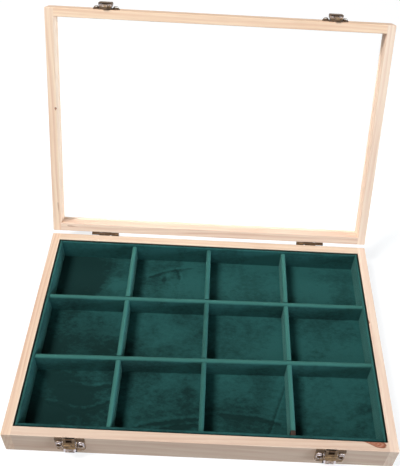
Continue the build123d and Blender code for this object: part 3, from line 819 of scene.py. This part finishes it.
class DISPLAY_CASE_OT_liners(bpy.types.Operator):
    """Cover the boards round the inside of the base with velvet"""

    bl_idname = "display_case.liners"
    bl_label = "Liners"

    fill = 0.2
    edge_radius = 0.9 * MM
    station_step = 5 * MM
    side_crest_shine = 0.3  # how strongly a highlight is painted along the crests of the left and the right liner
    # How much paler the velvet of a liner is painted
    lean = {"liner_right": 0.4, "liner_back": 0.35}
    # Lengths of the waves in a liner's crest and in its line
    crest_waves = in_mm((61, 23))
    line_waves = in_mm((90, 37))

    def execute(self, context):
        for number, name in enumerate(("liner_left", "liner_right", "liner_front", "liner_back")):
            self.liner(name, number, context.scene.case_velvet)
        return {"FINISHED"}

    def liner(self, name, number, settings):
        """One liner, whose crest and line wander a little"""
        low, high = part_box(name)
        along_y = runs_back(name)
        start, end = (low.y, high.y) if along_y else (low.x, high.x)
        near, far = (low.x, high.x) if along_y else (low.y, high.y)
        stations = []
        for along in even(start, end, self.station_step):
            rise = settings.ripple * waves(along, number, self.crest_waves)
            stations.append((along, low.z, high.z + rise, (far - near) / 2))

        def axis_point(along, across):
            shift = (near + far) / 2 + 0.5 * settings.ripple * waves(along, number + 5, self.line_waves)
            return (shift - across, along) if along_y else (along, shift + across)

        splay = self.side_crest_shine if along_y else 0.0
        cloth = velvet(settings)
        piece = swept_board(f"velvet_{name}", stations, axis_point, cloth, self.edge_radius, splay)
        paint(piece, "brush", np.full(len(piece.data.vertices), self.lean.get(name, 0.0)))
        stand_in(piece, name)


class DISPLAY_CASE_OT_dividers(bpy.types.Operator):
    """Cover the dividers with velvet, lapped where they cross"""

    bl_idname = "display_case.dividers"
    bl_label = "Dividers"

    fill = 0.3
    edge_radius = 2.0 * MM
    station_step = 4 * MM
    # How strongly a highlight is painted along a divider's crest, where it is less than full
    crest_shine = {"cross_divider_centre": 0.55, "long_divider_rear": 0.85, "long_divider_front": 0.85}
    lap_slack = 0.15 * MM
    end_slack = 0.01 * MM  # within which a point lies at a solid's end
    thickness = 0.5 * MM  # of the velvet over its board
    bare_end = 5.6 * MM
    bare_overlap = 1.0 * MM  # of the bare board under the velvet
    bare_edge_radius = 0.2 * MM
    cross_names = ("cross_divider_left", "cross_divider_centre", "cross_divider_right")
    long_names = ("long_divider_front", "long_divider_rear")
    # Lengths of the waves in the crests, and in the lines of the long and the cross dividers
    crest_waves = in_mm((83, 31))
    long_waves = in_mm((170, 57))
    cross_waves = in_mm((130, 49))

    def execute(self, context):
        settings = context.scene.case_velvet
        low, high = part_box(self.cross_names[0])
        self.half = (high.x - low.x) / 2
        self.lap = (low.z + high.z) / 2
        self.lines = {name: self.centre_line(name) for name in self.long_names}
        for number, name in enumerate(self.long_names):
            self.long_divider(name, number, settings)
        for number, name in enumerate(self.cross_names):
            self.cross_divider(name, number, settings)
        self.bare_board(self.cross_names[-1], context.scene.case_pine)
        return {"FINISHED"}

    def centre_line(self, name):
        """Middle and slope of a long divider, from the ends of its CAD solid"""
        low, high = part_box(name)
        ends = []
        for end in (low.x, high.x):
            points = [vertex.co for vertex in frame["nodes"][name].data.vertices]
            ys = [point.y for point in points if abs(point.x - end) < self.end_slack]
            ends.append((min(ys) + max(ys)) / 2)
        return (ends[0] + ends[1]) / 2, (ends[1] - ends[0]) / (high.x - low.x)

    def stations(self, start, end, notches, solid, notched, number, settings):
        """Stations along a divider, with a step down and up at each notch"""
        places = [(along, solid) for along in even(start, end, self.station_step)]
        for left, right in notches:
            places = [place for place in places if not left <= place[0] <= right]
            places += [(left, solid), (left, notched), (right, notched), (right, solid)]
        rows = []
        for along, (low, high) in sorted(places, key=lambda place: place[0]):
            rise = settings.ripple * waves(along, number, self.crest_waves) if high > self.lap else 0.0
            rows.append((along, low, high + rise, self.half))
        return rows

    def cover(self, name, rows, axis_point, settings):
        """Velvet of one divider through its stations"""
        splay = self.crest_shine.get(name, 1.0)
        piece = swept_board(f"velvet_{name}", rows, axis_point, velvet(settings), self.edge_radius, splay)
        stand_in(piece, name)

    def long_divider(self, name, number, settings):
        """A divider along the case, notched from below"""
        low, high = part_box(name)
        middle, slope = self.lines[name]
        reach = self.half + self.lap_slack
        crossings = [(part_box(other)[0].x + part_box(other)[1].x) / 2 for other in self.cross_names]
        notches = [(x - reach, x + reach) for x in crossings]
        solid, notched = (low.z, high.z), (self.lap + self.lap_slack / 2, high.z)
        rows = self.stations(low.x, high.x, notches, solid, notched, number, settings)

        def axis_point(along, across):
            wander = settings.ripple * waves(along, number + 3, self.long_waves)
            return (along, middle + slope * along + across + wander)

        self.cover(name, rows, axis_point, settings)

    def cross_divider(self, name, number, settings):
        """A divider across the case, notched from above; the velvet of the last stops short at its front"""
        low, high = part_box(name)
        x = (low.x + high.x) / 2
        start = low.y + (self.bare_end if name == self.cross_names[-1] else 0.0)
        reach = self.half + 2 * self.lap_slack
        notches = [(m + s * x - reach, m + s * x + reach) for m, s in self.lines.values()]
        solid, notched = (low.z, high.z), (low.z, self.lap - self.lap_slack / 2)
        rows = self.stations(start, high.y, notches, solid, notched, number + 2, settings)

        def axis_point(along, across):
            return (x - across + 0.5 * settings.ripple * waves(along, number + 7, self.cross_waves), along)

        self.cover(name, rows, axis_point, settings)

    def bare_board(self, name, settings):
        """The board of a divider, bare past the end of its velvet"""
        material, graph = new_material("bare_wood")
        fibre = graph.noise(graph.mapping(graph.place(), Scale=(900, 60, 900)))
        tone = graph.mix(graph.span(fibre, 0.3, 0.7), settings.bare, settings.bare_fibre)
        graph.surface(Base_Color=tone, Roughness=0.75, Specular_IOR_Level=0.2)
        low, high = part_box(name)
        x = (low.x + high.x) / 2
        reach = self.bare_end + self.bare_overlap
        core = (low.z, high.z - self.thickness, self.half - self.thickness)
        ends = [(along, *core) for along in (low.y, low.y + reach)]

        def axis_point(along, across):
            return (x - across, along)

        bare = swept_board("divider_bare_end", ends, axis_point, material, self.bare_edge_radius, 0.0, 1)
        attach(bare, "base")


# Metalwork


def from_latch_screws(graph, place):
    """Distance from the axis of the nearest latch screw, and the radius of its head"""
    low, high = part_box("latch_screws")
    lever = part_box("latch_lever_right")
    radius = (high.z - low.z) / 2
    apart = high.x - radius - (lever[0].x + lever[1].x) / 2
    across = graph.minus(from_lever(graph, place)[0], apart)
    up = graph.minus(graph.parts(place)[2], (low.z + high.z) / 2)
    return graph.distance(across, up), radius


def metal_material(name, settings, rubbed, places):
    """Antiqued plating, rubbed to bright metal by the given share; places(graph, place) gives masks of
    wear and painted highlights, and of painted shade"""
    material, graph = new_material(name)
    place = graph.place()
    bright, dark = places(graph, place)
    wear_and_highlight = graph.plus(graph.times(bright, 0.8), rubbed)
    patina = graph.effect("Antique patina", Vector=place, Rubbed=wear_and_highlight)
    # Dirt and patina, with the painted shade over them
    dirt = graph.most(graph.times(patina["Dirt"], 0.85), dark)
    wear = graph.times(patina["Wear"], graph.minus(1.0, dark))
    tone = graph.mix(dirt, settings.plating, settings.patina)
    grit = graph.span(patina["Grit"], 0.3, 0.7, -0.06, 0.06)
    graph.surface(
        Base_Color=graph.mix(wear, tone, settings.worn),
        Metallic=graph.span(dirt, 0.0, 1.0, 1.0, 0.3),
        Specular_IOR_Level=0.3,
        Roughness=graph.plus(graph.span(wear, 0.0, 1.0, 0.54, 0.32), grit),
        Normal=graph.bump(patina["Grit"], 0.03 * MM, 0.5),
    )
    return material


def plain_metal(name, tone, roughness):
    """Bare or plated metal with fine scratches, and painted shade in its hollows"""
    material, graph = new_material(name)
    place = graph.place()
    fine = graph.noise(graph.mapping(place, Scale=(1, 1, 6)), 900.0, Detail=3.0, Roughness=0.6)
    stain = graph.span(graph.noise(place, 300.0), 0.45, 0.75, 0.0, 0.4)
    # Painted shade in the hollows
    hollow = graph.span(graph.openness(0.9 * MM), 0.85, 0.45)
    graph.surface(
        Base_Color=graph.mix(hollow, graph.mix(stain, tone, dimmed(tone, 0.5)), dimmed(tone, 0.06)),
        Metallic=1.0,
        Roughness=graph.span(fine, 0.3, 0.7, roughness - 0.07, roughness + 0.1),
        Normal=graph.bump(fine, 0.02 * MM, 0.4),
    )
    return material


class DISPLAY_CASE_OT_hinges(bpy.types.Operator):
    """Finish the hinge leaves and their pins"""

    bl_idname = "display_case.hinges"
    bl_label = "Hinges"

    bright_end = 6 * MM  # of the squared knuckle left out of the painted shade, from the hinge's inner end
    bright_fade = 3 * MM

    def execute(self, context):
        settings = context.scene.case_metal
        leaves = pair("hinge_leaf_base") + pair("hinge_leaf_lid")
        dress(leaves, metal_material("hinge_plating", settings, -0.15, self.leaf_places))
        dress(pair("hinge_pin"), plain_metal("hinge_pin_steel", settings.spring, 0.35))
        return {"FINISHED"}

    def leaf_places(self, graph, place):
        """Painted shade over the leaves, but for the squared knuckle at the hinge's inner end"""
        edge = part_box("hinge_leaf_base_right")[0].x + self.bright_end
        across = graph.size(graph.parts(place)[0])
        return 0.0, graph.span(across, edge, edge + self.bright_fade, 0.2, 0.85)


class DISPLAY_CASE_OT_latches(bpy.types.Operator):
    """Finish the latch plates, levers, pivots and springs"""

    bl_idname = "display_case.latches"
    bl_label = "Latches"

    lip_height = 4.6 * MM
    lip_fade = 0.8 * MM
    lobe_rise = 1.8 * MM  # from the wood to the top of the plate's lobes
    slot_width = 5.4 * MM
    slot_low = 3.9 * MM  # below the base's rim
    plate_dark = (5.0 * MM, 3.5 * MM)  # below the plate's top, where its painted shade starts and is full
    lever_dark = (5.5 * MM, 3.5 * MM)  # below the base's rim, where the lever's painted shade starts and is full
    corner = (2.2 * MM, 0.6 * MM)  # inside the lever's sides, where the painted highlight on a corner starts and is full

    def execute(self, context):
        settings = context.scene.case_metal
        dress(pair("latch_plate"), metal_material("latch_plate_plating", settings, 0.1, self.plate_places))
        dress(pair("latch_lever"), metal_material("latch_lever_plating", settings, -0.1, self.lever_places))
        dress(pair("latch_pin"), plain_metal("latch_pin_steel", settings.screw, 0.35))
        dress(pair("latch_spring"), plain_metal("latch_spring_steel", settings.spring, 0.3))
        return {"FINISHED"}

    def plate_places(self, graph, place):
        """Raised lobes rubbed, with a painted highlight round their screws; painted shade on the top and on
        the sheet under the lever
        """
        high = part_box("latch_plate_left")[1]
        away, radius = from_latch_screws(graph, place)
        _, y, z = graph.parts(place)
        # The lobes end at this Y, with the wood behind it and the cheeks in front
        lobe = high.y - self.lobe_rise
        raised = graph.span(y, lobe + 0.6 * MM, lobe + 0.2 * MM)
        cheeks = graph.span(y, lobe - 0.3 * MM, lobe - 0.6 * MM)
        # Painted highlight round the screws
        ring = graph.span(away, 1.4 * radius, 2.6 * radius, 0.45, 0.25)
        start, full = (high.z - below for below in self.plate_dark)
        top = graph.span(z, start, full, 0.0, 0.8)
        aside, half = from_lever(graph, place)
        # Painted shade on the sheet hidden under the lever
        covered = graph.math("LESS_THAN", aside, half - 0.2 * MM)
        return graph.times(graph.minus(raised, cheeks), ring), graph.most(top, covered)

    def lever_places(self, graph, place):
        """The lip rubbed bright by fingers, with painted highlights at its corners; painted shade on the
        slot's edges and over the top
        """
        lip_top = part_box("latch_lever_right")[0].z + self.lip_height
        aside, half = from_lever(graph, place)
        z = graph.parts(place)[2]
        lip = graph.span(z, lip_top, lip_top - self.lip_fade)
        # Painted highlights at the lip's corners
        corners = graph.span(aside, half - self.corner[0], half - self.corner[1], 0.55, 1.0)
        # Painted shade on the slot's edges
        above = graph.math("GREATER_THAN", z, RIM - self.slot_low - FACE_SLACK)
        inside = graph.math("LESS_THAN", aside, self.slot_width / 2 + FACE_SLACK)
        start, full = (RIM - below for below in self.lever_dark)
        top = graph.span(z, start, full, 0.0, 0.6)
        return graph.times(lip, corners), graph.most(graph.times(above, inside), top)


class DISPLAY_CASE_OT_catches(bpy.types.Operator):
    """Finish the two catches on the lid"""

    bl_idname = "display_case.catches"
    bl_label = "Catches"

    # Distances from the lid's face, between which the metal is painted lighter, and how softly its band
    # ends
    band_start = 3.4 * MM
    band_end = 5.2 * MM
    band_fade = 0.8 * MM

    def execute(self, context):
        settings = context.scene.case_metal
        dress(pair("catch_plate"), metal_material("catch_plating", settings, -0.1, self.catch_places))
        return {"FINISHED"}

    def catch_places(self, graph, place):
        """Painted shade at the foot and along the hood's outer edge, with a lighter band between them"""
        way = Euler((-LID_OPENING, 0, 0)).to_matrix() @ Vector((0, -1, 0))
        face = max(vertex.co @ way for vertex in frame["nodes"]["lid_front_rail"].data.vertices)
        out = graph.minus(graph.vector_math("DOT_PRODUCT", place, way), face)
        # Painted shade on the underside, next to the lid's face
        foot = graph.span(out, self.band_start, self.band_start - self.band_fade)
        edge = graph.span(out, self.band_end, self.band_end + self.band_fade)
        dark = graph.most(foot, edge)
        return graph.times(graph.minus(1.0, dark), 0.5), graph.times(dark, 0.75)


class DISPLAY_CASE_OT_screws(bpy.types.Operator):
    """Finish the screws"""

    bl_idname = "display_case.screws"
    bl_label = "Screws"

    def execute(self, context):
        settings = context.scene.case_metal
        screws = ("hinge_screws_base", "hinge_screws_lid", "catch_screws")
        dress(screws, plain_metal("screw_nickel", settings.screw, 0.3))
        dress(["latch_screws"], metal_material("latch_screw_plating", settings, 0.0, self.head_places))
        return {"FINISHED"}

    def head_places(self, graph, place):
        """Screw heads of the latches: a rubbed rim round a heart darkened with painted shade"""
        away, radius = from_latch_screws(graph, place)
        rim = graph.span(away, 0.8 * radius, 0.95 * radius, 0.0, 0.7)
        # Painted shade in the heart of each head, round its recess
        return rim, graph.span(away, 0.9 * radius, 0.75 * radius)


# Stage


def seen_ray(graph):
    """1 for a ray that shows the background: from the camera, from gloss or through glass"""
    path = graph.add("ShaderNodeLightPath").outputs
    seen = graph.most(path["Is Camera Ray"], path["Is Glossy Ray"])
    return graph.most(seen, path["Is Transmission Ray"])


class DISPLAY_CASE_OT_stage(bpy.types.Operator):
    """Set the floor, the light and the camera at the photographed view"""

    bl_idname = "display_case.stage"
    bl_label = "Stage"

    floor_side = 8.0
    floor_bounce = (0.25, 0.25, 0.25)  # what the floor throws back onto the case
    floor_shown = (0.3, 0.3, 0.3)  # the part of its look that light and shadow change
    floor_glow = 0.78  # the part that they don't
    aim = Vector((0.0, 0.05, 0.05))
    # Lamps: azimuth from the camera's side, elevation, distance and the side of the square
    key_lamp = (radians(-78), radians(61), 2.8, 0.8)
    side_lamp = (radians(73), radians(9), 2.5, 0.5)
    front_lamp = (0.0, radians(35), 2.5, 1.0)
    camera_place = Vector((-0.004878, -0.390877, 0.591083))
    camera_turn = (0.018494, -0.775122, -0.062223)  # yaw, tilt and roll in radians
    camera_near = 10 * MM
    image_height = 466
    focal_pixels = 676.127
    sensor = 36.0
    camera_shift = (-0.0323, -0.03811)

    def execute(self, context):
        settings = context.scene.case_stage
        self.floor()
        self.world(settings)
        self.lamp("key", settings.key_power, *self.key_lamp)
        self.lamp("side", settings.side_power, *self.side_lamp).color = settings.side_colour
        self.lamp("front", settings.front_power, *self.front_lamp).color = settings.front_colour
        self.camera(context.scene)
        context.scene.view_settings.view_transform = "Standard"
        return {"FINISHED"}

    def floor(self):
        """Wide pale floor that shows white, with the case's soft shadow on it"""
        half = self.floor_side / 2
        corners = [(-half, -half, 0), (half, -half, 0), (half, half, 0), (-half, half, 0)]
        material, graph = new_material("stage_floor")
        bounce = graph.add("ShaderNodeBsdfDiffuse", {"Color": self.floor_bounce})
        shaded = graph.add("ShaderNodeBsdfDiffuse", {"Color": self.floor_shown})
        glow = graph.add("ShaderNodeEmission", {"Color": WHITE, "Strength": self.floor_glow})
        shown = graph.add("ShaderNodeAddShader", {0: shaded.outputs[0], 1: glow.outputs[0]})
        both = {0: seen_ray(graph), 1: bounce.outputs[0], 2: shown.outputs[0]}
        mixed = graph.add("ShaderNodeMixShader", both)
        graph.add("ShaderNodeOutputMaterial", {"Surface": mixed.outputs[0]})
        mesh_piece("stage_floor", corners, [(0, 1, 2, 3)], material)

    def world(self, settings):
        """Even light from all round, shown as white"""
        world = bpy.data.worlds.new("studio")
        world.use_nodes = True
        graph = Graph(world.node_tree)
        strength = graph.most(seen_ray(graph), settings.world)
        light = graph.add("ShaderNodeBackground", {"Color": WHITE, "Strength": strength})
        graph.add("ShaderNodeOutputWorld", {"Surface": light.outputs[0]})
        bpy.context.scene.world = world

    def lamp(self, name, power, azimuth, elevation, distance, side):
        """Soft square lamp that looks at the case"""
        light = bpy.data.lights.new(name, "AREA")
        light.energy = power
        light.size = side
        way = Vector((sin(azimuth) * cos(elevation), -cos(azimuth) * cos(elevation), sin(elevation)))
        lamp = bpy.data.objects.new(name, light)
        lamp.location = self.aim + distance * way
        lamp.rotation_euler = way.to_track_quat("Z", "Y").to_euler()
        bpy.context.scene.collection.objects.link(lamp)
        return light

    def camera(self, scene):
        """Camera fitted to the photographed corners of the base and the lid"""
        yaw, tilt, roll = self.camera_turn
        turn = Matrix.Rotation(-yaw, 4, "Z") @ Matrix.Rotation(-tilt, 4, "X")
        turn = turn @ Matrix.Rotation(-roll, 4, "Z")
        data = bpy.data.cameras.new("camera")
        data.sensor_width = self.sensor
        data.lens = self.focal_pixels / self.image_height * self.sensor
        data.shift_x, data.shift_y = self.camera_shift
        data.clip_start = self.camera_near
        camera = bpy.data.objects.new("camera", data)
        camera.matrix_world = Matrix.Translation(self.camera_place) @ turn
        scene.collection.objects.link(camera)
        scene.camera = camera


GROUPS = {
    "case_pine": PineSettings,
    "case_velvet": VelvetSettings,
    "case_metal": MetalSettings,
    "case_stage": StageSettings,
}
OPERATORS = [
    DISPLAY_CASE_OT_base_boards,
    DISPLAY_CASE_OT_lid_frame,
    DISPLAY_CASE_OT_window,
    DISPLAY_CASE_OT_velvet_floor,
    DISPLAY_CASE_OT_liners,
    DISPLAY_CASE_OT_dividers,
    DISPLAY_CASE_OT_hinges,
    DISPLAY_CASE_OT_latches,
    DISPLAY_CASE_OT_catches,
    DISPLAY_CASE_OT_screws,
    DISPLAY_CASE_OT_stage,
]


class DISPLAY_CASE_PT_build(bpy.types.Panel):
    """Lists what builds the case, and what it is built from"""

    bl_label = "Display Case"
    bl_idname = "DISPLAY_CASE_PT_build"
    bl_space_type = "VIEW_3D"
    bl_region_type = "UI"
    bl_category = "Display Case"

    def draw(self, context):
        layout = self.layout
        for operator in OPERATORS:
            layout.operator(operator.bl_idname)
        for name, group in GROUPS.items():
            box = layout.box()
            box.label(text=group.__doc__)
            for field in group.__annotations__:
                box.prop(getattr(context.scene, name), field)


def register():
    """Adds the property groups, the operators and the panel"""
    for name, group in GROUPS.items():
        bpy.utils.register_class(group)
        setattr(bpy.types.Scene, name, PointerProperty(type=group))
    for operator in OPERATORS:
        bpy.utils.register_class(operator)
    bpy.utils.register_class(DISPLAY_CASE_PT_build)


def unregister():
    """Takes them out again"""
    bpy.utils.unregister_class(DISPLAY_CASE_PT_build)
    for operator in reversed(OPERATORS):
        bpy.utils.unregister_class(operator)
    for name, group in reversed(GROUPS.items()):
        delattr(bpy.types.Scene, name)
        bpy.utils.unregister_class(group)


def main():
    """Builds the whole case"""
    register()
    case = bpy.ops.display_case
    case.base_boards()
    case.lid_frame()
    case.window()
    case.velvet_floor()
    case.liners()
    case.dividers()
    case.hinges()
    case.latches()
    case.catches()
    case.screws()
    case.stage()


if __name__ == "__main__":
    main()
